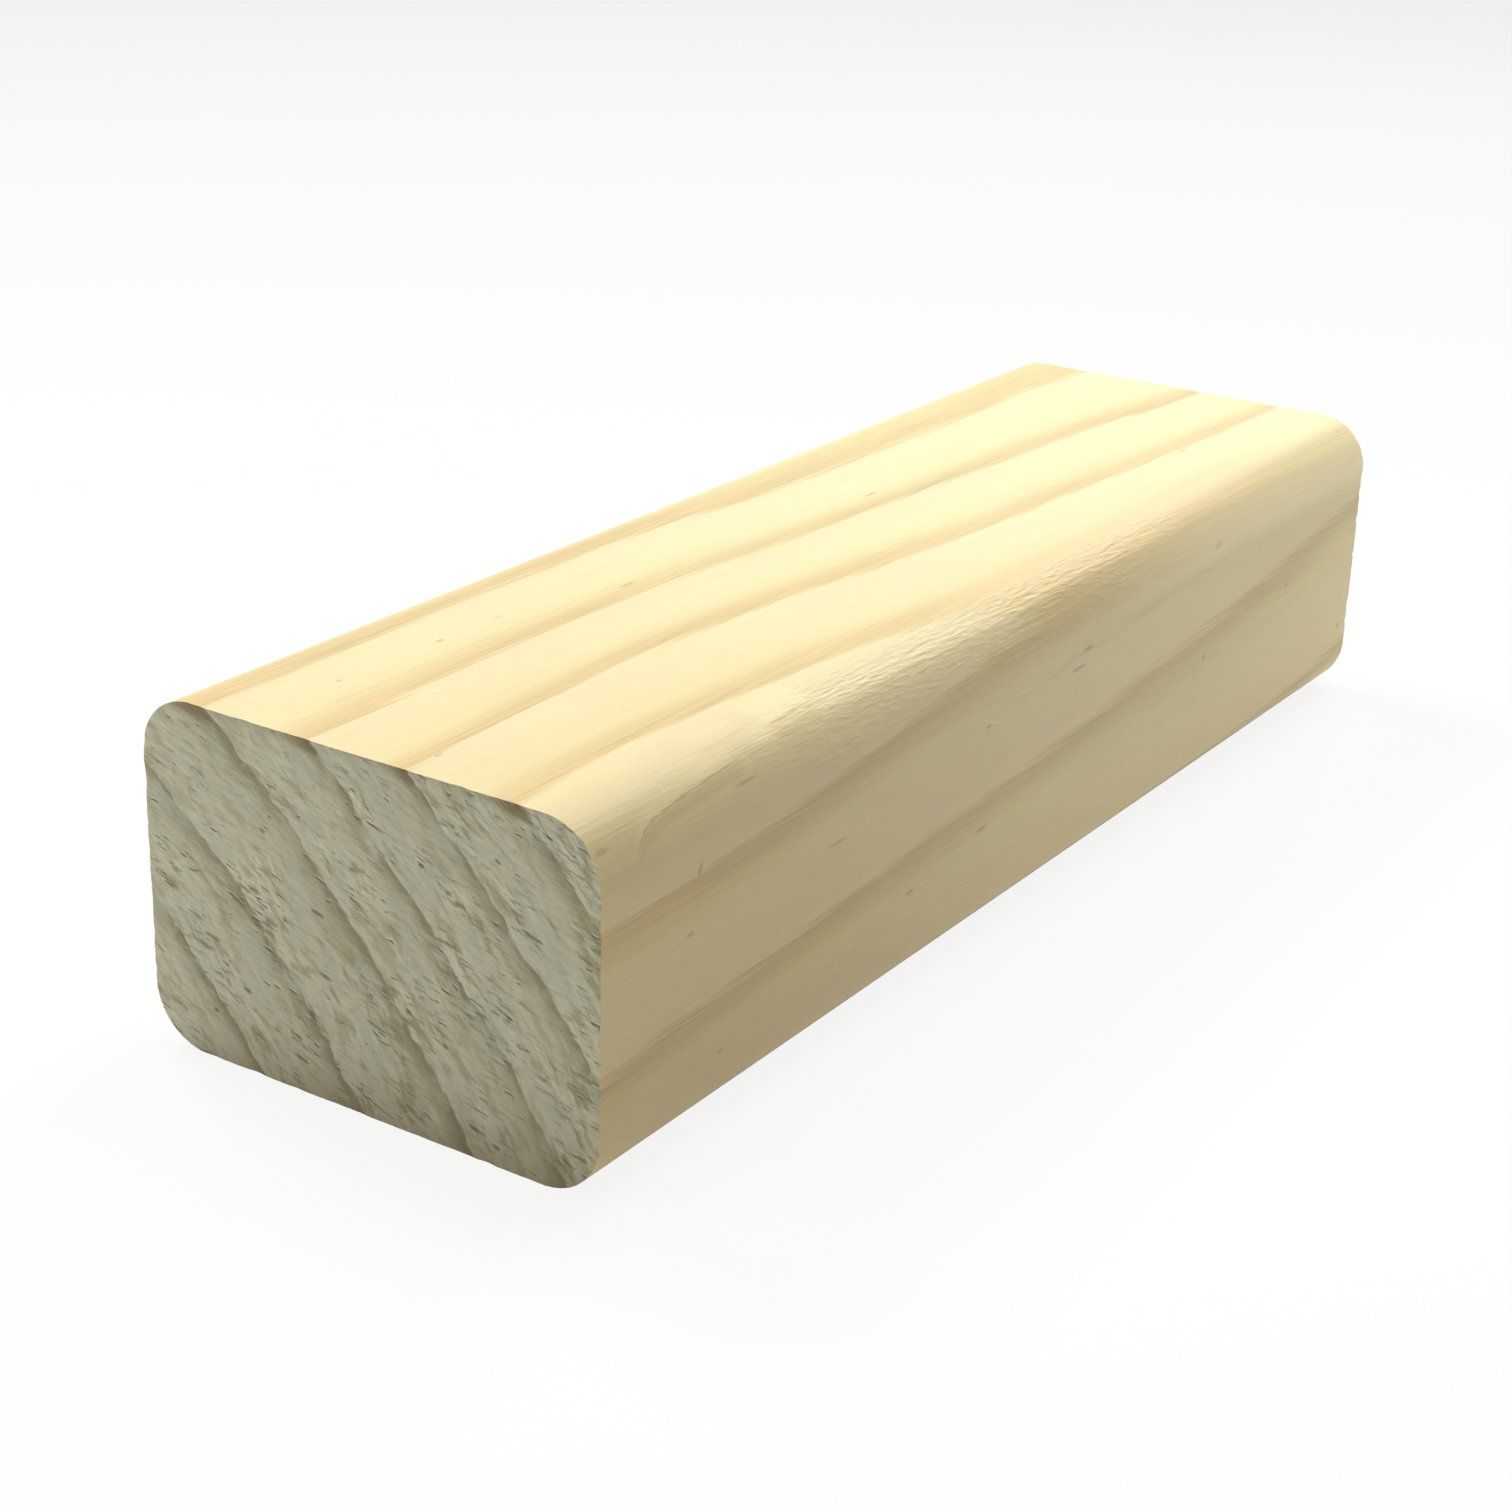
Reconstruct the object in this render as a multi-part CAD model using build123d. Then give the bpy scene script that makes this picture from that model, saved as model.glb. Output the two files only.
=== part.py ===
from build123d import *
import os

# Rectangular pine handrail stock, a short straight length of it.
# Millimetres. The rail runs along X, its width is along Y, and it lies with its underside on Z = 0.
# The near sawn end, which the photo shows, faces -X. The side that the photo shows faces -Y.

# Sizes
rail_length = 200.0
rail_width = 65.0
rail_height = 44.0
edge_radius = 7.5

# Planed section, with the four long edges rounded alike
section = Plane.YZ * RectangleRounded(rail_width, rail_height, edge_radius)

# The rail is that section from one square sawn end to the other
rail = extrude(section, amount=rail_length)
rail = Pos(-rail_length / 2, 0, rail_height / 2) * rail

os.makedirs("parts", exist_ok=True)
export_step(rail, "parts/handrail.step")
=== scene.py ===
import math

import bmesh
import bpy
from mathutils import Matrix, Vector, noise


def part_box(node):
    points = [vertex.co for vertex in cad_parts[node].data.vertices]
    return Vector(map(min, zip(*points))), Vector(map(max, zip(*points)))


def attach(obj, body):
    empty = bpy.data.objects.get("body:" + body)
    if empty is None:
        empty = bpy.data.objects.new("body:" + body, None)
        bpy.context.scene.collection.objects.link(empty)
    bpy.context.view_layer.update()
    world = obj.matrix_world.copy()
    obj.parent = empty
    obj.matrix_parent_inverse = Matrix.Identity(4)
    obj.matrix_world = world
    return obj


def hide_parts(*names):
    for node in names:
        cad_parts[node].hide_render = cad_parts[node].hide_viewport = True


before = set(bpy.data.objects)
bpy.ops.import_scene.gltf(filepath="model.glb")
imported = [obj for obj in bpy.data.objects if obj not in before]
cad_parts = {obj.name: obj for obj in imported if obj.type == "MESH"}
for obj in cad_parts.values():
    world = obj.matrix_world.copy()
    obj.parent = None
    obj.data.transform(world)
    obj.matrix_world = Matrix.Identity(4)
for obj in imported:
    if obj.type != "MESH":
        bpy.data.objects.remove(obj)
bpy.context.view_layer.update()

# Everything below is worked out in millimetres of the rail's own frame and scaled to metres by MM.
MM = 0.001
rail_low, rail_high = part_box("handrail")
LENGTH, WIDTH, HEIGHT = ((rail_high - rail_low) / MM)
EDGE_RADIUS = 7.5

# The tree that the rail was sawn from. Its heart line runs outside the rail, below the hidden side.
# This is its place at mid length, and how far it moves for each millimetre along the rail.
HEART_Y, HEART_Z = 60.0, -50.6
HEART_LEAN_Y, HEART_LEAN_Z = -0.178, -0.035
# How much the rings widen for each millimetre along the rail, and the distance that keeps its place
RING_WIDENING, WIDENING_REACH = 0.00194, 94.2
# Distances from the heart line at which a ring's dark late wood ends and the next ring's pale wood starts
RING_EDGES = (40.0, 49.0, 57.5, 66.0, 75.0, 84.2, 94.0, 102.9, 110.2, 118.4, 128.7, 140.0)
# Swells of the rings: height, length along the rail, turn for each millimetre of Y and of Z,
# and turn at the middle
SWELLS = (
    (1.80, 220.0, -0.060, 0.060, -0.314),
    (1.58, 218.5, -0.0467, -0.0392, 4.269),
    (0.72, 139.7, -0.045, 0.060, 3.267),
)
# Small waves of the rings across the end: height, length, turn for each millimetre along the rail,
# and turn at the start
WRINKLES = ((0.13, 17.3, 0.031, 0.4), (0.07, 7.1, -0.047, 2.1), (0.04, 3.3, 0.062, 4.0))
# The way a ring's line goes across the ends, down from level towards the side that shows
RING_SLOPE = math.radians(48)
# The way the saw's teeth went, measured alike
SAW_SLOPE = math.radians(17)

# How far late wood has set in over one ring, from its pale start to its sharp dark end
LATE_WOOD = ((0.0, 0.0), (0.50, 0.04), (0.68, 0.22), (0.80, 0.70), (0.88, 0.95), (0.96, 1.0), (1.0, 0.0))

# Low on the side that shows, the rings inside this one widen more and more towards the far end
WIDE_FROM, WIDE_SHARE = 118.4, 0.58
# How far in from that side the widening reaches, and how far below the top it is in full
WIDE_ACROSS, WIDE_DROP = 28.0, 14.0


def positive(value):
    """The value where it is above 0, and 0 elsewhere. It takes a plain number or a shader value."""
    return max(value, 0.0) if isinstance(value, (int, float)) else value.maths("MAXIMUM", 0.0)


def root(value):
    """The square root of a plain number or a shader value."""
    return math.sqrt(value) if isinstance(value, (int, float)) else value.maths("SQRT")


def sine(value):
    """The sine of a plain number or a shader value."""
    return math.sin(value) if isinstance(value, (int, float)) else value.maths("SINE")


def along_ring(y, z):
    """Millimetres along a ring's line, down from the hidden side to the side that shows."""
    return z * -math.sin(RING_SLOPE) - y * math.cos(RING_SLOPE)


def along_cut(y, z):
    """Millimetres the way the saw's teeth went."""
    return z * -math.sin(SAW_SLOPE) - y * math.cos(SAW_SLOPE)


def across_cut(y, z):
    """Millimetres square to the way the saw's teeth went, upwards."""
    return z * math.cos(SAW_SLOPE) - y * math.sin(SAW_SLOPE)


def heart_distance(x, y, z):
    """Distance from the heart line at a place in the wood, from plain numbers or from shader values."""
    across = y - (HEART_Y + HEART_LEAN_Y * x)
    up = z - (HEART_Z + HEART_LEAN_Z * x)
    reach = root(across * across + up * up)
    reach = reach + RING_WIDENING * x * (reach - WIDENING_REACH)
    level = z - HEIGHT / 2
    for height, length, turn_y, turn_z, start in SWELLS:
        reach = reach + height * sine(x * (math.tau / length) + y * turn_y + level * turn_z + start)
    low_side = positive(1 - (y + WIDTH / 2) / WIDE_ACROSS) * (1 - positive(1 - (HEIGHT - z) / WIDE_DROP))
    reach = reach + positive(WIDE_FROM - reach) * low_side * (x / LENGTH + 0.5) * WIDE_SHARE
    line = along_ring(y, z)
    for height, length, turn_x, start in WRINKLES:
        reach = reach + height * sine(line * (math.tau / length) + x * turn_x + start)
    return reach


def rings_passed(reach):
    """How many ring edges lie nearer to the heart than this, with the share of the ring begun."""
    total = 0.0
    for inner, outer in zip(RING_EDGES, RING_EDGES[1:]):
        total += min(max((reach - inner) / (outer - inner), 0.0), 1.0)
    return total


def late_wood(phase):
    """The share of late wood at a phase of a ring, read off LATE_WOOD."""
    for (start, low), (end, high) in zip(LATE_WOOD, LATE_WOOD[1:]):
        if phase <= end:
            return low + (high - low) * (phase - start) / (end - start)
    return 0.0


class Value:
    """One output of a shader's node, with the arithmetic that adds Math nodes."""

    def __init__(self, finish, socket):
        self.finish = finish
        self.socket = socket

    def maths(self, operation, *others):
        """This value and others through one operation of a Math node."""
        sockets = dict(enumerate((self, *others)))
        return self.finish.node("Math", {"operation": operation}, sockets)

    def __add__(self, other):
        return self.maths("ADD", other)

    def __sub__(self, other):
        return self.maths("SUBTRACT", other)

    def __rsub__(self, other):
        return self.finish.node("Math", {"operation": "SUBTRACT"}, {0: other, 1: self})

    def __mul__(self, other):
        return self.maths("MULTIPLY", other)

    def __truediv__(self, other):
        return self.maths("DIVIDE", other)

    __radd__ = __add__
    __rmul__ = __mul__

    def rise(self, low, high):
        """0 before low, 1 past high, and a smooth way between them. It falls where low is the larger."""
        sockets = {"Value": self, "From Min": low, "From Max": high}
        return self.finish.node("MapRange", {"interpolation_type": "SMOOTHSTEP"}, sockets)


class Finish:
    """A material being made. Its places are in millimetres of the rail's frame."""

    def __init__(self, name):
        self.material = bpy.data.materials.new(name)
        self.material.use_nodes = True
        self.tree = self.material.node_tree
        self.tree.nodes.clear()

    def node(self, kind, settings=None, sockets=None, output=0):
        """Adds a node: its type, its settings, then the numbers, colours or values of its sockets."""
        made = self.tree.nodes.new("ShaderNode" + kind)
        for name, setting in (settings or {}).items():
            if name == "stops":
                self.set_stops(made.color_ramp, setting)
            else:
                setattr(made, name, setting)
        for name, given in (sockets or {}).items():
            if isinstance(given, Value):
                self.tree.links.new(given.socket, made.inputs[name])
            else:
                made.inputs[name].default_value = given
        return Value(self, made.outputs[output])

    def set_stops(self, ramp, stops):
        """Puts a colour ramp's stops in place. A stop is a position with a share or a colour."""
        while len(ramp.elements) < len(stops):
            ramp.elements.new(1.0)
        for element, (position, tone) in zip(ramp.elements, stops):
            element.position = position
            element.color = (*tone, 1.0) if isinstance(tone, tuple) else (tone, tone, tone, 1.0)

    def place(self):
        """The place in the rail in millimetres, as one vector."""
        where = self.node("TexCoord", output="Object")
        return self.node("VectorMath", {"operation": "SCALE"}, {0: where, "Scale": 1 / MM})

    def split(self, vector):
        """The three values of a vector."""
        return [self.node("SeparateXYZ", sockets={0: vector}, output=axis) for axis in "XYZ"]

    def join(self, point):
        """One vector from three values."""
        return self.node("CombineXYZ", sockets=dict(enumerate(point)))

    def cloud(self, place, sizes, detail=2.0, shift=(0, 0, 0)):
        """Noise about 0 at a place, from the sizes of its marks. A shift, in marks, gives other noise."""
        scales = [1 / size for size in sizes]
        point = self.node("VectorMath", {"operation": "MULTIPLY_ADD"}, {0: place, 1: scales, 2: shift})
        sockets = {"Vector": point, "Scale": 1.0, "Detail": detail}
        return self.node("TexNoise", sockets=sockets) - 0.5

    def spread(self, point, centre, half_sizes):
        """The square of a point's distance from a centre, measured in half sizes along each axis."""
        scales = [1 / half for half in half_sizes]
        shifts = [-middle * scale for middle, scale in zip(centre, scales)]
        off = self.node("VectorMath", {"operation": "MULTIPLY_ADD"}, {0: point, 1: scales, 2: shifts})
        return self.node("VectorMath", {"operation": "DOT_PRODUCT"}, {0: off, 1: off}, output="Value")

    def ramp(self, value, stops):
        """The tone at a value from 0 to 1, read off the stops."""
        return self.node("ValToRGB", {"stops": stops}, {0: value})

    def blend(self, share, colour, other):
        """A colour that goes over to the other one by a share."""
        settings = {"data_type": "RGBA", "clamp_factor": True}
        sockets = {"Factor": share, 6: self.opaque(colour), 7: self.opaque(other)}
        return self.node("Mix", settings, sockets, output=2)

    def opaque(self, colour):
        """A colour with its fourth number, where it is plain numbers."""
        return colour if isinstance(colour, Value) else (*colour, 1.0)

    def dim(self, colour, factor):
        """A colour times a number."""
        return self.node("VectorMath", {"operation": "SCALE"}, {0: colour, "Scale": factor})

    def rings(self, reach):
        """How many ring edges lie nearer to the heart, with the share of the ring begun."""
        total = 0.0
        for inner, outer in zip(RING_EDGES, RING_EDGES[1:]):
            sockets = {"Value": reach, "From Min": inner, "From Max": outer}
            total = total + self.node("MapRange", sockets=sockets)
        return total

    def bump(self, height):
        """A normal from a height in millimetres."""
        return self.node("Bump", sockets={"Strength": 1.0, "Distance": MM, "Height": height})

    def cover(self, colour, roughness, normal):
        """Ends the material with its surface."""
        sockets = {"Base Color": colour, "Roughness": roughness, "Normal": normal}
        sockets["IOR"] = WOOD_IOR
        sockets["Specular IOR Level"] = WOOD_SPECULAR
        return self.end_with(self.node("BsdfPrincipled", sockets=sockets))

    def end_with(self, surface):
        """Joins the surface to the material's output and gives the material."""
        made = self.tree.nodes.new("ShaderNodeOutputMaterial")
        self.tree.links.new(surface.socket, made.inputs["Surface"])
        return self.material


# How much the bare wood mirrors
WOOD_IOR, WOOD_SPECULAR = 1.5, 0.35
# Colours of the planed faces over one ring
PLANED = (
    (0.00, (0.800, 0.670, 0.462)),
    (0.42, (0.800, 0.672, 0.450)),
    (0.66, (0.776, 0.660, 0.420)),
    (0.78, (0.705, 0.583, 0.352)),
    (0.87, (0.645, 0.514, 0.300)),
    (0.925, (0.628, 0.492, 0.283)),
    (1.00, (0.790, 0.660, 0.448)),
)
# The colour where late wood begins, and the darkest of it
MIDDLE_WOOD, DARKEST_WOOD = PLANED[2][1], PLANED[5][1]
# Colours of the sawn ends over one ring
SAWN = (
    (0.00, (0.690, 0.660, 0.518)),
    (0.62, (0.664, 0.626, 0.480)),
    (0.80, (0.604, 0.562, 0.416)),
    (0.88, (0.490, 0.446, 0.318)),
    (0.93, (0.392, 0.350, 0.240)),
    (0.978, (0.346, 0.306, 0.204)),
    (1.00, (0.690, 0.658, 0.515)),
)
# The colour of late wood where the saw wore it away
WORN_WOOD = SAWN[2][1]
# On the planed faces: late wood near the top, flecks and tears, painted shade below a tear and at the
# near end of the rounded edge, painted half-shade tone on the rounded edge high up past the middle, and
# painted light on the same edge lower down
PEACH = (0.720, 0.535, 0.315)
STAIN = (0.36, 0.27, 0.15)
SHADE = (0.60, 0.46, 0.27)
PAINTED_HALF_SHADE = (0.790, 0.590, 0.365)
PAINTED_EDGE_LIGHT = (0.820, 0.720, 0.560)
# What the planed wood's colour is multiplied by at the near end and from the middle on: painted shade at
# the near end, painted light further on
NEAR_END_SHADE = (0.985, 0.925, 0.83)
FAR_END_LIGHT = (1.0, 0.995, 0.97)
# On the sawn ends: pale patches, brown patches with painted shade in the plucked hollows, painted shade
# in the saw's strokes, the burnished top edge, painted shade in pits, painted highlight on their raised
# lips and on the ridges between strokes, and chips
SAGE = (0.600, 0.630, 0.500)
KHAKI = (0.470, 0.400, 0.240)
STROKE_SHADE = (0.340, 0.290, 0.175)
BROWN = (0.270, 0.190, 0.100)
PIT_SHADE = (0.20, 0.175, 0.11)
LIP_HIGHLIGHT = (0.86, 0.83, 0.70)
FRESH = (0.80, 0.68, 0.45)

# Thin dark lines inside a ring, where growth paused: distance from the heart line, first and last X,
# and highest Z
PAUSES = ((107.8, -100.0, -32.0, 50.0), (123.7, -12.0, 52.0, 39.0), (98.6, -104.0, -70.0, 50.0))
# Tears on the rounded edge: first X and last X, their heights, how far the line curls down at its start,
# and how dark it is
TEARS = (
    (-92.5, -72.0, 41.0, 42.1, 1.7, 1.0),
    (-75.5, -67.5, 43.5, 43.6, 0.0, 0.4),
    (-63.5, -54.5, 43.1, 43.3, 0.0, 0.9),
)
# How sharply a tear's line curls
CURL_POWER = 10.0
# Dark flecks in the planed faces: place, half length along the rail, half width
FLECKS = (
    ((-82.0, -32.5, 33.2), 0.45, 0.75),
    ((-77.3, -32.5, 9.1), 0.4, 0.3),
    ((-36.5, -32.5, 13.6), 1.0, 0.3),
    ((7.8, -32.5, 32.8), 1.3, 0.35),
    ((5.3, -32.5, 30.7), 2.0, 0.25),
    ((45.4, -32.5, 20.7), 0.5, 0.5),
    ((47.0, -32.5, 37.2), 1.3, 0.5),
    ((96.7, -32.5, 11.3), 0.6, 0.45),
    ((-54.0, -32.5, 26.4), 2.0, 0.22),
    ((-72.3, -31.6, 40.0), 2.4, 0.22),
    ((-66.7, 16.4, 44.0), 0.7, 0.4),
    ((17.5, 8.0, 44.0), 1.6, 0.3),
    ((66.3, -16.7, 44.0), 1.2, 0.3),
    ((-36.0, 11.2, 44.0), 1.6, 0.3),
    ((-94.5, -6.7, 44.0), 0.6, 0.3),
    ((-98.3, -31.0, 40.5), 1.3, 0.5),
    ((-83.6, -32.5, 26.0), 0.7, 0.3),
    ((-19.0, -32.5, 16.0), 1.7, 0.25),
    ((-18.6, -32.5, 29.9), 0.8, 0.25),
    ((73.4, -32.5, 24.2), 0.8, 0.25),
    ((-84.2, 16.7, 44.0), 0.5, 0.25),
    ((-55.9, 16.1, 44.0), 0.9, 0.2),
)
# How far a fleck leans along the rail for each millimetre of height
FLECK_LEAN = 0.3
# Clear pits in the near end: their Y and Z, and half length along the saw's strokes
PITS = (
    (7.9, 10.4, 0.5),
    (5.7, 15.8, 1.0),
    (9.8, 4.2, 1.3),
    (17.8, 10.4, 0.7),
    (22.9, 6.3, 0.4),
    (14.5, 31.3, 0.5),
    (6.6, 23.4, 0.9),
    (-19.1, 36.8, 0.5),
    (-23.6, 29.4, 1.5),
    (-15.4, 3.7, 0.8),
    (-18.6, 2.4, 0.7),
    (-11.6, 12.6, 0.5),
)
PIT_HALF_WIDTH = 0.27
# How far along the rail the sawn ends' marks would run, in millimetres
GRAIN_REACH = 40
# How far apart the small pits lie, and how far a pit's lip lies from it, in millimetres
PIT_APART, LIP_STEP = 0.52, 0.22
# Z less Y where the rounded edge of the side that shows starts, and where it is reached in full
ROUNDING = (66.0, 70.0)


def between(value, first, last, fade):
    """1 while the value is between first and last, with a smooth fade at both."""
    return value.rise(first - fade, first + fade) * (1 - value.rise(last - fade, last + fade))


def add_pauses(wood, colour, reach, x, z, streak):
    """The colour with the thin dark lines where growth paused."""
    for pause_reach, first_x, last_x, highest_z in PAUSES:
        line = between(reach, pause_reach - 0.15, pause_reach + 0.10, 0.12)
        line = line * between(x, first_x, last_x, 8.0)
        line = line * (1 - z.rise(highest_z - 1, highest_z + 1))
        colour = wood.blend(line * (streak + 0.9) * 0.36, colour, DARKEST_WOOD)
    return colour


def fleck_marks(wood, where, hair):
    """How dark the short resin lines and the flecks are, from 0 to 1."""
    x, y, z = wood.split(where)
    marks = wood.cloud(where, (2.6, 0.28, 0.28), 1.0).rise(0.245, 0.31) * 0.4
    leaning = wood.join((x - z * FLECK_LEAN, y, z))
    # Where a fleck has faded out and where it is in full. The fine grain makes its outline ragged
    clear, full = 1.6 - hair * 2.5, 0.1 - hair * 2.5
    for (fleck_x, fleck_y, fleck_z), half_length, half_width in FLECKS:
        centre = (fleck_x - fleck_z * FLECK_LEAN, fleck_y, fleck_z)
        near = wood.spread(leaning, centre, (half_length, half_width, half_width))
        marks = marks + near.rise(clear, full)
    ragged = (hair * 2.6 + 0.80).maths("MINIMUM", 1.0)
    return (marks * ragged).maths("MINIMUM", 1.0)


def add_tears(wood, colour, where, rounding, wander):
    """The colour with painted light on the lifted wood over each tear and painted shade below it, and how
    dark its line is.
    """
    x, _, z = wood.split(where)
    lines = 0.0
    scales = 0.0
    gap = wood.cloud(where, (3.0, math.inf, math.inf), 1.0) * 1.6 + 0.95
    for first_x, last_x, first_z, last_z, curl, depth in TEARS:
        share = (x - first_x) / (last_x - first_x)
        curled = (1 - share).maths("MAXIMUM", 0.0).maths("POWER", CURL_POWER)
        over = z - first_z - share * (last_z - first_z) + curled * curl + wander
        shown = between(x, first_x, last_x, 1.5) * rounding * depth
        lines = lines + between(over, -0.09, 0.04, 0.05) * shown * gap
        # Painted highlight on the lifted flake over each tear's line, and painted shade below the line
        scales = scales + between(over, 0.0, 1.0, 0.5) * shown
        colour = wood.blend(between(over, -1.4, -0.1, 0.35) * shown * 0.42, colour, SHADE)
    return wood.dim(colour, 1 + scales * 0.12), lines


def paint_rounded_edge_light(wood, colour, x, uneven_z, z, rounding):
    """The colour with light and shade painted on the rounded edge: painted shade near the near end.
    Further on, a painted half-shade tone high up, a painted highlight along a bright crest below that,
    and painted light lower down."""
    # Painted shade on the rounded edge towards the near end
    colour = wood.blend((1 - x.rise(-85, -45)) * rounding * 0.20, colour, SHADE)
    # A painted half-shade tone, peach, high on the rounded edge from the middle on
    half_shade = uneven_z.rise(HEIGHT - 2.6, HEIGHT - 1.3) * between(x, -8, 75, 22) * rounding
    colour = wood.blend(half_shade * 0.85, colour, PAINTED_HALF_SHADE)
    # Painted light: the rounded edge paler and brighter lower down from the middle on, and a painted
    # highlight along a crest past the near end
    low = (1 - z.rise(HEIGHT - 3.5, HEIGHT - 1.5)) * x.rise(-10, 60) * rounding
    crest = between(z + x * 0.006, HEIGHT - 2.2, HEIGHT - 1.05, 0.40)
    crest = crest * x.rise(-88, -58) * rounding
    colour = wood.blend(low * 0.35, colour, PAINTED_EDGE_LIGHT)
    return wood.dim(colour, 1 + low * 0.14 + crest * 0.14)


def planed_pine():
    """Bare pine off the planer: pale early wood, tan late wood with a sharp end, and fine grain, with
    some light and shade painted in.
    """
    wood = Finish("planed_pine")
    where = wood.place()
    x, y, z = wood.split(where)
    streak = wood.cloud(where, (18, 0.30, 0.30))
    hair = wood.cloud(where, (4, 0.13, 0.13), 1.0)
    reach = heart_distance(x, y, z) + wood.cloud(where, (30, 5, 5)) * 0.8 + streak * 1.3
    passed = wood.rings(reach)
    phase = passed.maths("FRACT")
    colour = wood.ramp(phase, PLANED)
    late = wood.ramp(phase, LATE_WOOD)
    # Each ring has its own strength of late wood, and late wood turns to peach towards the top
    strength = wood.node("TexWhiteNoise", {"noise_dimensions": "1D"}, {"W": passed.maths("FLOOR")})
    colour = wood.blend(strength * 0.22, colour, MIDDLE_WOOD)
    patch = wood.cloud(where, (45, 9, 9))
    peach = (z * 0.03 + wood.cloud(where, (35, 7, 7)) * 1.6).rise(0.75, 1.35)
    colour = wood.blend(peach * late * 0.75, colour, PEACH)
    colour = add_pauses(wood, colour, reach, x, z, streak)
    # Broad patches and fine streaks, then the dark marks
    colour = wood.dim(colour, 1 + patch * 0.10 + streak * (late * 0.34 + 0.11) + hair * 0.09)
    rounding = (z - y).rise(*ROUNDING)
    marks = fleck_marks(wood, where, hair)
    colour, tear_lines = add_tears(wood, colour, where, rounding, (hair + streak) * 0.4)
    colour = wood.blend((marks + tear_lines) * 0.62, colour, STAIN)
    colour = paint_rounded_edge_light(wood, colour, x, z + patch * 1.6, z, rounding)
    # Painted shade: the wood is a little darker and warmer towards the near end. Painted light: it is
    # paler low on the side
    tint = wood.blend(x.rise(-130, 60), NEAR_END_SHADE, FAR_END_LIGHT)
    colour = wood.node("VectorMath", {"operation": "MULTIPLY"}, {0: colour, 1: tint})
    # Painted light low on the side, away from the near end
    colour = wood.dim(colour, 1 + (1 - z.rise(4, 30)) * x.rise(-95, -35) * 0.07)
    # The relief in millimetres, with torn fibres on the rounded edge
    torn = wood.cloud(wood.join((x + z * 1.6, y, z)), (2.2, 0.50, 0.50)) * rounding
    torn = torn * (between(x, -60.0, 30.0, 14.0) * 0.85 + 0.15)
    height = streak * 0.040 + hair * 0.020 + torn * 0.20
    roughness = 0.58 - late * 0.08 + streak * 0.15
    return wood.cover(colour, roughness, wood.bump(height))


def clear_pits(wood, saw_way, fibre):
    """How dark the painted shade in the clear pits is, from 0 to 1. The fibres make their outlines
    ragged.
    """
    clear, full = 1.5 - fibre * 1.8, 0.3 - fibre * 1.8
    pits = 0.0
    for pit_y, pit_z, half_length in PITS:
        centre = (along_cut(pit_y, pit_z), across_cut(pit_y, pit_z), 0.0)
        apart = wood.spread(saw_way, centre, (half_length, PIT_HALF_WIDTH, math.inf))
        pits = apart.rise(clear, full).maths("MAXIMUM", pits)
    return pits


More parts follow.
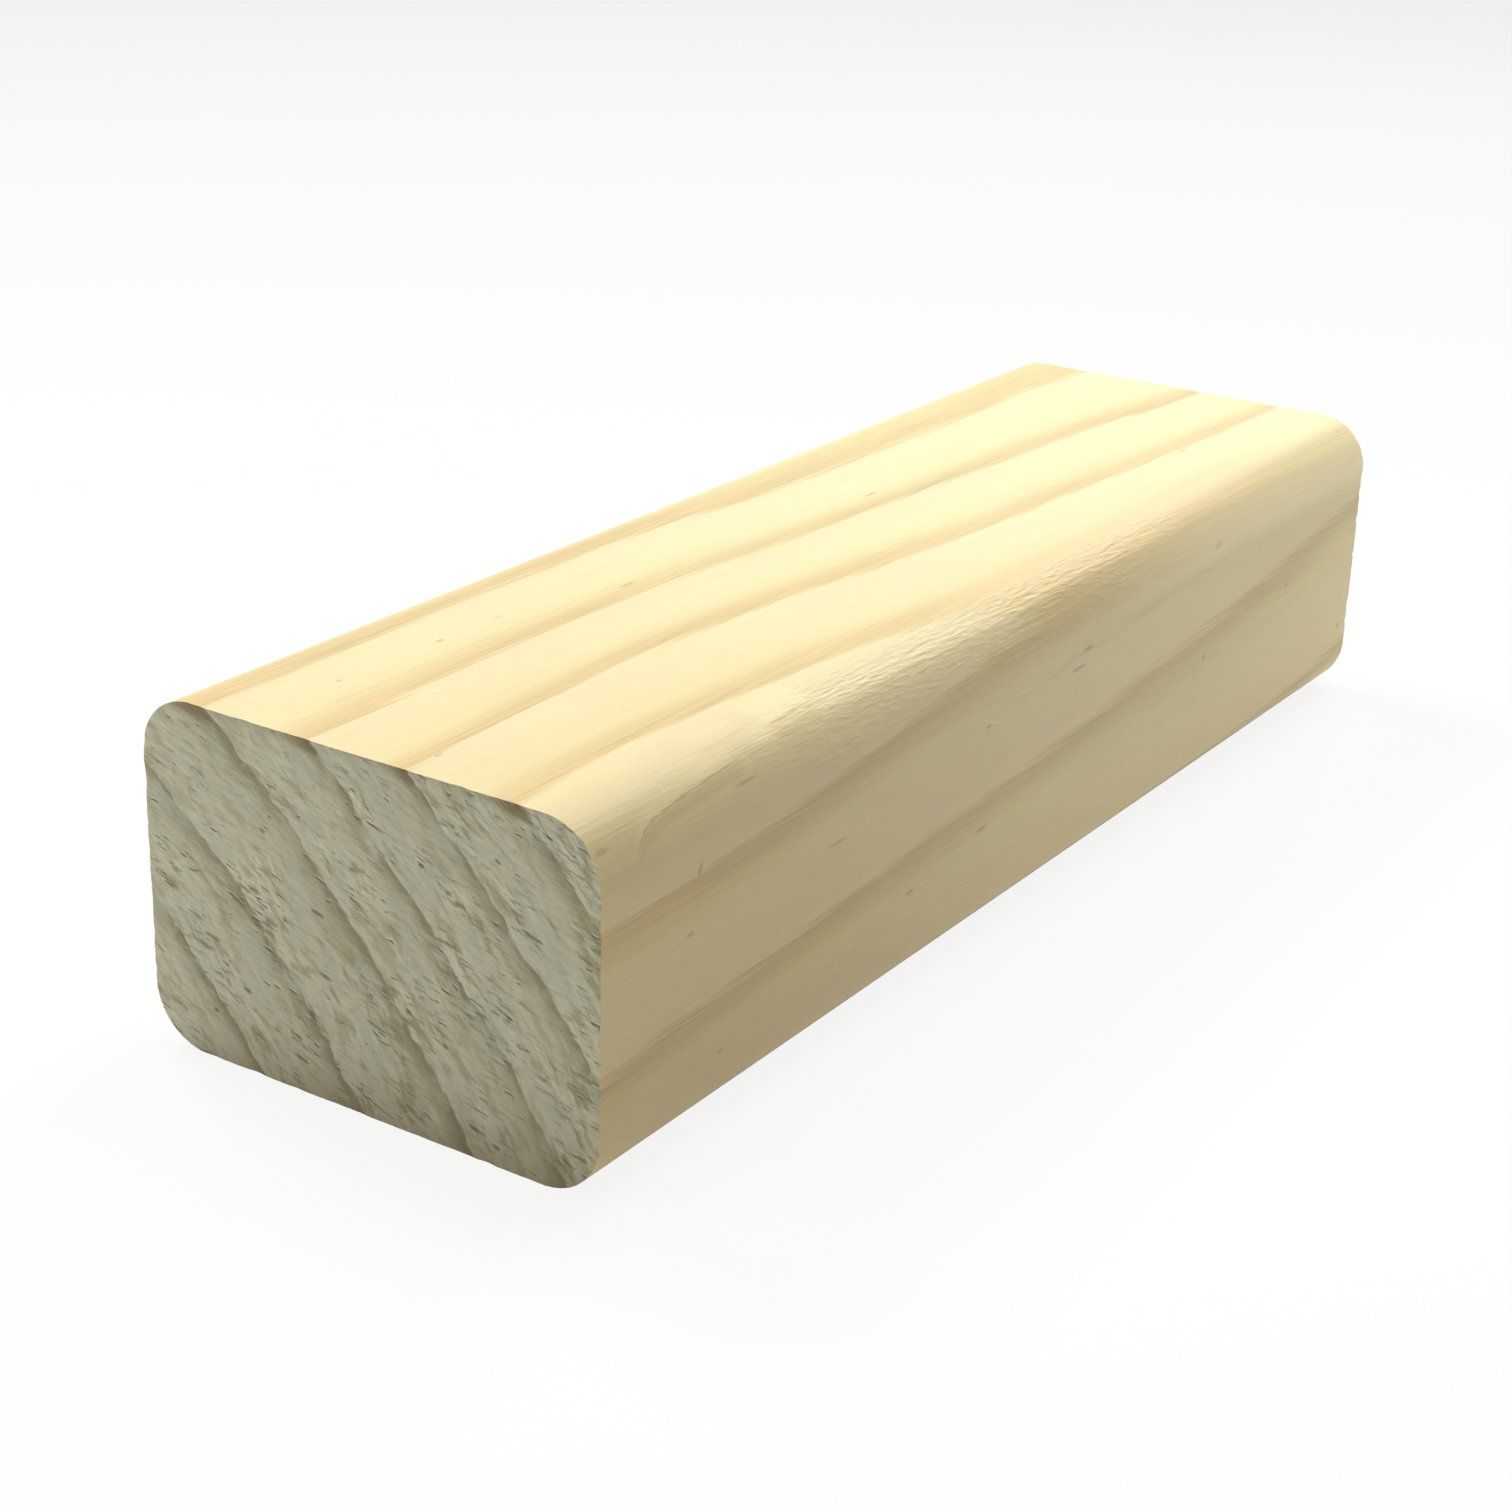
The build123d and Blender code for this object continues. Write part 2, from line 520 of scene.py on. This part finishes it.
def sawn_pine():
    """Pine across the grain off the saw: grey-brown rings, plucked and pitted along the ring lines, with
    the relief's light and shade painted into the colour.
    """
    wood = Finish("sawn_pine")
    x, y, z = wood.split(wood.place())
    reach = heart_distance(x, y, z)
    # The place as seen along a ring's line, and along the saw's strokes
    ring_way = wood.join((along_ring(y, z), reach, x))
    saw_way = wood.join((along_cut(y, z), across_cut(y, z), x))
    wander = wood.cloud(ring_way, (4.0, 1.3, GRAIN_REACH), 3.0)
    pluck = wood.cloud(ring_way, (3.6, 0.75, GRAIN_REACH))
    fibre = wood.cloud(ring_way, (1.30, 0.28, GRAIN_REACH), 1.0)
    passed = wood.rings(reach + wander * 0.6 + pluck * 0.5 + fibre * 0.5)
    phase = passed.maths("FRACT")
    colour = wood.ramp(phase, SAWN)
    late = wood.ramp(phase, LATE_WOOD)
    # Patches, rougher here and there, drawn out along the ring lines, and worst at the side that shows
    patch = wood.cloud(ring_way, (6.0, 2.0, GRAIN_REACH), 3.0)
    side = 1 - (y + WIDTH / 2).rise(0.5, 6.0)
    rough = wood.cloud(ring_way, (9.0, 3.5, GRAIN_REACH), shift=(0, 0, 3))
    rough = (rough + side * 0.15).rise(-0.12, 0.15)
    lost = wood.cloud(ring_way, (4.0, 2.5, GRAIN_REACH), shift=(0, 0, 11)).rise(0.0, 0.17)
    colour = wood.blend(lost * late * 0.65, colour, WORN_WOOD)
    colour = wood.blend(patch.rise(0.0, 0.17) * 0.6, colour, SAGE)
    # Brown patches, with painted shade where the plucked fibres lie low
    brown = (patch * -1.0 + pluck * -0.9).rise(0.02, 0.20)
    colour = wood.blend(brown * (rough * 0.5 + 0.3), colour, KHAKI)
    # Painted light and shade of the relief: lighter where the plucked fibres stand high, darker where
    # they lie low
    grain = pluck * 0.50 + fibre * 0.24
    colour = wood.dim(colour, 1 + grain * (rough * 0.8 + 0.5))
    # Painted shade in the grooves of the saw's strokes, and a painted highlight on the ridges between
    # them
    stroke = wood.cloud(saw_way, (2.4, 0.48, GRAIN_REACH), shift=(0, 0, 5))
    colour = wood.blend(stroke.rise(0.08, 0.15) * (rough * 0.62 + 0.22), colour, STROKE_SHADE)
    colour = wood.blend((stroke * -1.0).rise(0.09, 0.18) * (rough * 0.35 + 0.08), colour, LIP_HIGHLIGHT)
    # Pits where fibres were pulled out, darkened with painted shade, each with a raised lip above it
    # paled with a painted highlight. The relief has only these small ones, and the clear pits of the near
    # end are drawn in colour alone, as painted shade
    dark, behind = [
        wood.cloud(saw_way, (2.1, PIT_APART, GRAIN_REACH), 1.0, (0, -step / PIT_APART, 7))
        for step in (0.0, LIP_STEP)
    ]
    dark = (dark + rough * 0.07).rise(0.25, 0.315)
    behind = (behind + rough * 0.07).rise(0.25, 0.315)
    hollow = dark
    near_end = (1 - x.rise(-1, 1)) * 0.9
    dark = dark.maths("MAXIMUM", clear_pits(wood, saw_way, fibre) * near_end)
    lip_highlight = behind * (1 - dark)
    # Painted highlight on each lip, then painted shade in each pit
    colour = wood.blend(lip_highlight * 0.50, colour, LIP_HIGHLIGHT)
    colour = wood.blend(dark * 0.80, colour, PIT_SHADE)
    # Chips along the side that shows bare the fresh wood
    chips = wood.cloud(wood.join((y, z, x)), (1.5, 1.7, GRAIN_REACH), shift=(0, 0, 15))
    chips = chips.rise(0.06, 0.14)
    colour = wood.blend(chips * (1 - (y + WIDTH / 2).rise(0.4, 2.4)) * 0.6, colour, FRESH)
    # Late wood is burnished brown where it comes out at the top edge
    edge = (z + late * 0.9).rise(HEIGHT - 1.5, HEIGHT)
    colour = wood.blend(edge * (late * 0.66 + 0.14), colour, BROWN)
    # The relief in millimetres
    height = pluck * (rough * 0.26 + 0.08) + fibre * (rough * 0.12 + 0.06)
    height = height - stroke * 0.15 - hollow * 0.12
    roughness = 0.78 - late * 0.08
    return wood.cover(colour, roughness, wood.bump(height))


# Cells of the mesh over an end, and rows of it along the rail
CELLS_ACROSS, CELLS_UP, ROWS = 164, 110, 84
# How close to an end's plane a corner of the mesh is taken as on it, in millimetres
ON_END = 0.01
# How far in from the side that shows the saw broke the wood away, and how deep at most, in millimetres
BREAK_REACH, DEEPEST_CHIP = 3.5, 0.35


def round_corner(y, z):
    """Moves a place in the square section into the section with rounded edges. Z is from mid height."""
    reach_y = abs(y) - (WIDTH / 2 - EDGE_RADIUS)
    reach_z = abs(z) - (HEIGHT / 2 - EDGE_RADIUS)
    if reach_y <= 0 or reach_z <= 0:
        return y, z
    share_y = reach_y / EDGE_RADIUS
    share_z = reach_z / EDGE_RADIUS
    pulled_y = EDGE_RADIUS * share_y * math.sqrt(1 - share_z * share_z / 2)
    pulled_z = EDGE_RADIUS * share_z * math.sqrt(1 - share_y * share_y / 2)
    return (
        math.copysign(WIDTH / 2 - EDGE_RADIUS + pulled_y, y),
        math.copysign(HEIGHT / 2 - EDGE_RADIUS + pulled_z, z),
    )


def torn_edge(x, y, z):
    """How deep the saw broke the wood away where it left it, at the side that shows, in millimetres."""
    leaving = max(0.0, 1 - (y + WIDTH / 2) / BREAK_REACH)
    large = noise.noise(Vector((z / 1.6, y / 2.6, 21 + x * 0.11)))
    small = noise.noise(Vector((z / 0.7, y / 0.9, x * 0.11)))
    chip = large + 0.4 * small
    return min(1.3 * leaving * max(0.0, chip - 0.12), DEEPEST_CHIP)


def saw_depth(x, y, z):
    """How deep the saw and the torn fibres lie behind the end's plane, in millimetres."""
    reach = heart_distance(x, y, z)
    line = along_ring(y, z)
    late = late_wood(rings_passed(reach) % 1.0)
    pluck = noise.noise(Vector((line / 2.4, reach / 0.9, x * 0.37)))
    tear = noise.noise(Vector((line / 1.1, reach / 0.6, 9 + x * 0.37)))
    depth = 0.14 - 0.02 * late + 0.06 * pluck + 0.07 * tear
    return max(depth, 0.02) + torn_edge(x, y, z)


def arris_nick(x, y, z):
    """How deep the sharp edge round an end is broken back, in millimetres."""
    late = late_wood(rings_passed(heart_distance(x, y, z)) % 1.0)
    rag = noise.noise(Vector((y / 0.8, z / 0.8, x * 0.21)))
    chip = max(0.0, noise.noise(Vector((y / 3.1, z / 3.1, 4 + x * 0.21))) - 0.15)
    return 0.10 + 0.10 * abs(rag) + 0.35 * chip + 0.10 * late + torn_edge(x, y, z)


def rail_wood(name):
    """The rail as one closed mesh: a rounded end drawn out along the rail, and relief on both ends."""
    shape = bmesh.new()
    bmesh.ops.create_grid(shape, x_segments=CELLS_ACROSS, y_segments=CELLS_UP, size=0.5)
    for vertex in shape.verts:
        y, z = round_corner(vertex.co.x * WIDTH, vertex.co.y * HEIGHT)
        vertex.co = (-LENGTH / 2, y, z + HEIGHT / 2)
    drawn = bmesh.ops.extrude_face_region(shape, geom=list(shape.faces))
    far_end = [part for part in drawn["geom"] if isinstance(part, bmesh.types.BMVert)]
    bmesh.ops.translate(shape, verts=far_end, vec=(LENGTH, 0, 0))
    long_edges = [e for e in shape.edges if abs(e.verts[0].co.x - e.verts[1].co.x) > LENGTH / 2]
    bmesh.ops.subdivide_edges(shape, edges=long_edges, cuts=ROWS - 1, use_grid_fill=True)
    bmesh.ops.recalc_face_normals(shape, faces=shape.faces)
    for face in shape.faces:
        face.smooth = True
        face.material_index = 1 if abs(face.normal.x) > 0.5 else 0
    for edge in shape.edges:
        edge.smooth = len({face.material_index for face in edge.link_faces}) == 1
    moved = []
    for vertex in shape.verts:
        x, y, z = vertex.co
        if abs(abs(x) - LENGTH / 2) > ON_END:
            continue
        on_arris = any(face.material_index == 0 for face in vertex.link_faces)
        depth = arris_nick(x, y, z) if on_arris else saw_depth(x, y, z)
        moved.append((vertex, math.copysign(LENGTH / 2 - depth, x)))
    for vertex, x in moved:
        vertex.co.x = x
    bmesh.ops.scale(shape, vec=(MM, MM, MM), verts=shape.verts)
    mesh = bpy.data.meshes.new(name)
    shape.to_mesh(mesh)
    shape.free()
    piece = bpy.data.objects.new(name, mesh)
    bpy.context.scene.collection.objects.link(piece)
    return piece


# The floor's half width and how far it lies below the rail, in millimetres
FLOOR_REACH = 4000.0
FLOOR_GAP = 0.05
# How much of what the camera sees of the floor is its own glow, and that glow before the rail
# and far behind it
GLOW_SHARE = 0.88
GLOW_NEAR = (1.0, 1.0, 1.0)
GLOW_FAR = (0.93, 0.93, 0.93)
# The way along the floor that the camera looks
LOOK_X, LOOK_Y = 0.83, 0.56
# The matt paint under the glow
FLOOR_PAINT = (0.78, 0.78, 0.78)


def pale_floor():
    """A wide pale floor with the rail's shadow. The camera sees it nearly white, and greyer far off."""
    shape = bmesh.new()
    bmesh.ops.create_grid(shape, x_segments=1, y_segments=1, size=FLOOR_REACH * MM)
    bmesh.ops.translate(shape, verts=shape.verts, vec=(0, 0, -FLOOR_GAP * MM))
    mesh = bpy.data.meshes.new("floor")
    shape.to_mesh(mesh)
    shape.free()
    floor = bpy.data.objects.new("floor", mesh)
    bpy.context.scene.collection.objects.link(floor)
    paint = Finish("floor_paint")
    x, y = paint.split(paint.place())[:2]
    far_off = (x * LOOK_X + y * LOOK_Y).rise(-100, 500)
    matt = paint.node("BsdfDiffuse", sockets={"Color": paint.opaque(FLOOR_PAINT)})
    glow = paint.node("Emission", sockets={"Color": paint.blend(far_off, GLOW_NEAR, GLOW_FAR)})
    seen = paint.node("LightPath", output="Is Camera Ray")
    seen = seen + paint.node("LightPath", output="Is Glossy Ray")
    both = paint.node("MixShader", sockets={0: seen * GLOW_SHARE, 1: matt, 2: glow})
    mesh.materials.append(paint.end_with(both))


# Lamps: name, place, side of the square, watts, tint. Places and sides are in metres.
LAMPS = (
    ("lamp_over_end", (-0.40, 0.30, 0.45), 0.35, 1.31, (1.00, 0.93, 0.78)),
    ("lamp_beyond", (0.75, 0.05, 0.60), 0.35, 3.9, (0.94, 1.00, 0.82)),
    ("lamp_behind", (0.10, 0.60, 0.75), 0.35, 7.0, (0.84, 0.92, 1.00)),
    ("lamp_far_side", (0.34, -0.33, 0.18), 0.30, 0.53, (1.00, 0.90, 0.76)),
    ("lamp_above", (0.20, -0.05, 0.80), 0.40, 2.95, (0.93, 1.00, 0.91)),
)
# The sky that lights the wood, and the backdrop that the camera sees
SKY = (1.0, 0.98, 0.95)
SKY_STRENGTH = 0.015
BACKDROP = (0.94, 0.94, 0.94)
# The place in the rail that all the lamps point at, in metres
LAMP_AIM = (0, 0, 0.02)


def studio():
    """Soft lamps that all point at the rail, and a dim sky."""
    for name, place, side, watts, tint in LAMPS:
        data = bpy.data.lights.new(name, "AREA")
        data.shape = "SQUARE"
        data.size = side
        data.energy = watts
        data.color = tint
        lamp = bpy.data.objects.new(name, data)
        lamp.location = place
        lamp.rotation_euler = (Vector(LAMP_AIM) - Vector(place)).to_track_quat("-Z", "Y").to_euler()
        bpy.context.scene.collection.objects.link(lamp)
    world = bpy.data.worlds.new("studio")
    bpy.context.scene.world = world
    world.use_nodes = True
    tree = world.node_tree
    tree.nodes.clear()
    light = tree.nodes.new("ShaderNodeBackground")
    light.inputs["Color"].default_value = (*SKY, 1.0)
    light.inputs["Strength"].default_value = SKY_STRENGTH
    seen = tree.nodes.new("ShaderNodeBackground")
    seen.inputs["Color"].default_value = (*BACKDROP, 1.0)
    path = tree.nodes.new("ShaderNodeLightPath")
    mix = tree.nodes.new("ShaderNodeMixShader")
    end = tree.nodes.new("ShaderNodeOutputWorld")
    tree.links.new(path.outputs["Is Camera Ray"], mix.inputs[0])
    tree.links.new(light.outputs[0], mix.inputs[1])
    tree.links.new(seen.outputs[0], mix.inputs[2])
    tree.links.new(mix.outputs[0], end.inputs["Surface"])


# The camera: its sensor and its lens in millimetres, its place in the rail's millimetres,
# and its turn in degrees
SENSOR_WIDTH, LENS = 36.0, 66.6
CAMERA_PLACE = (-308.0, -187.3, 158.2)
CAMERA_TURN = (67.81, -1.65, -56.09)


def camera():
    """The photo's view."""
    data = bpy.data.cameras.new("camera")
    data.sensor_width = SENSOR_WIDTH
    data.lens = LENS
    data.clip_start = 0.01
    made = bpy.data.objects.new("camera", data)
    made.location = Vector(CAMERA_PLACE) * MM
    made.rotation_euler = [math.radians(angle) for angle in CAMERA_TURN]
    bpy.context.scene.collection.objects.link(made)
    bpy.context.scene.camera = made


rail = rail_wood("handrail_wood")
rail.data.materials.append(planed_pine())
rail.data.materials.append(sawn_pine())
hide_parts("handrail")
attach(rail, "root")

pale_floor()
studio()
camera()
bpy.context.scene.view_settings.view_transform = "Standard"
